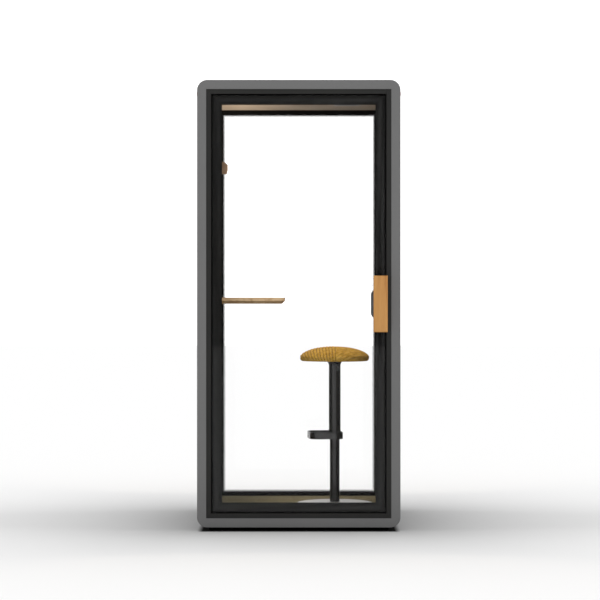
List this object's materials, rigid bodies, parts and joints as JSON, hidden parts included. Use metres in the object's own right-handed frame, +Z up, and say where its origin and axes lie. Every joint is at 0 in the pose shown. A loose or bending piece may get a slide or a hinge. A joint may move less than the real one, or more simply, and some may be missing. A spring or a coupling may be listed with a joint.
{
  "type": "telephone booth",
  "caption": "Single-person acoustic booth with a glass door, clear rear wall, side desk, coat hook and a height-adjustable stool.",
  "frame": {"origin": "centre of the footprint on the floor, under the levelling feet", "axes": "+X right seen from the door side, +Y from the door to the rear glass, +Z up"},
  "size_m": [1.0064, 1.047, 2.217],
  "materials": {
    "shell_paint": "satin",
    "frame_black": "satin",
    "clear_glass": "gloss",
    "border_black": "gloss",
    "felt": "matte",
    "mineral_wool": "matte",
    "oak": "satin",
    "birch_ply": "satin",
    "carpet": "matte",
    "galvanised": "satin",
    "steel": "satin",
    "seal_rubber": "matte",
    "black_plastic": "matte",
    "diffuser": "matte",
    "polished_steel": "polished",
    "stool_base_paint": "satin",
    "stool_black": "satin",
    "pull_grey": "satin",
    "seat_cover": "satin",
    "red_lens": "gloss",
    "bronze": "satin"
  },
  "bodies": {
    "root": {"side_panel_left": "shell_paint", "side_panel_right": "shell_paint", "roof_panel": "shell_paint", "base_panel": "shell_paint", "front_trim": "shell_paint", "rear_trim": "shell_paint", "steel_frame": "galvanised", "wall_insulation": "mineral_wool", "wall_linings": "felt", "plinth": "frame_black", "ceiling_panel": "felt", "floor_board": "birch_ply", "carpet": "carpet", "jamb_hinge_side": "frame_black", "jamb_latch_side": "frame_black", "head_jamb": "frame_black", "sill": "frame_black", "door_seal": "seal_rubber", "rear_frame": "frame_black", "rear_glass": "clear_glass", "light_housing": "galvanised", "light_diffuser": "diffuser", "fan_frames": "black_plastic", "ceiling_grilles": "black_plastic", "power_supply": "black_plastic", "desk_top": "oak", "desk_brackets": "steel", "coat_hook": "oak", "socket_panel": "black_plastic", "mains_inlet": "black_plastic", "status_lenses": "red_lens", "levelling_feet": "steel", "pivot_pins": "steel", "strike_plate": "steel"},
    "door": {"door_glass": "clear_glass", "door_border": "border_black", "door_stile_hinge": "frame_black", "door_stile_latch": "frame_black", "door_rail_top": "frame_black", "door_rail_bottom": "frame_black", "pivot_bushes": "bronze", "handle_grip": "oak", "handle_posts": "steel", "inner_pull": "pull_grey", "door_magnet": "galvanised"},
    "intake_rotor": {"fan_rotor_intake": "black_plastic"},
    "exhaust_rotor": {"fan_rotor_exhaust": "black_plastic"},
    "button": {"light_button": "diffuser"},
    "stool": {"stool_base": "stool_base_paint", "lower_tube": "stool_black", "guide_bush": "black_plastic", "piston_rod": "polished_steel"},
    "lift": {"gas_cylinder": "stool_black", "upper_tube": "stool_black", "footrest": "stool_black", "footrest_bolts": "steel"},
    "seat": {"seat_plate": "stool_black", "seat_board": "birch_ply", "seat_cushion": "seat_cover"},
    "lever": {"height_lever": "stool_black"}
  },
  "joints": [
    {"name": "door_hinge", "type": "hinge", "parent": "root", "child": "door", "pos_m": [-0.41, -0.4635, 1.117], "axis": [0, 0, -1], "range_deg": [0, 105]},
    {"name": "intake_fan", "type": "hinge", "parent": "root", "child": "intake_rotor", "pos_m": [-0.25, -0.2265, 2.18], "axis": [0, 0, 1], "continuous": true},
    {"name": "exhaust_fan", "type": "hinge", "parent": "root", "child": "exhaust_rotor", "pos_m": [0.25, 0.1235, 2.18], "axis": [0, 0, 1], "continuous": true},
    {"name": "button_press", "type": "slide", "parent": "root", "child": "button", "axis": [-1, 0, 0], "range_m": [0, 0.0025], "stiffness_N_per_m": 300},
    {"name": "stool_slide", "type": "slide", "parent": "root", "child": "stool", "axis": [1, 0, 0], "range_m": [-0.38, 0.03]},
    {"name": "seat_height", "type": "slide", "parent": "stool", "child": "lift", "axis": [0, 0, 1], "range_m": [-0.18, 0.02]},
    {"name": "seat_swivel", "type": "hinge", "parent": "lift", "child": "seat", "pos_m": [0.1846, -0.0015, 0.82], "axis": [0, 0, 1], "continuous": true},
    {"name": "lever_pull", "type": "hinge", "parent": "seat", "child": "lever", "pos_m": [0.18878, -0.04128, 0.806], "axis": [-0.9945, -0.1045, 0], "range_deg": [0, 6], "stiffness_Nm_per_rad": 0.6, "springref_deg": -5.73}
  ]
}
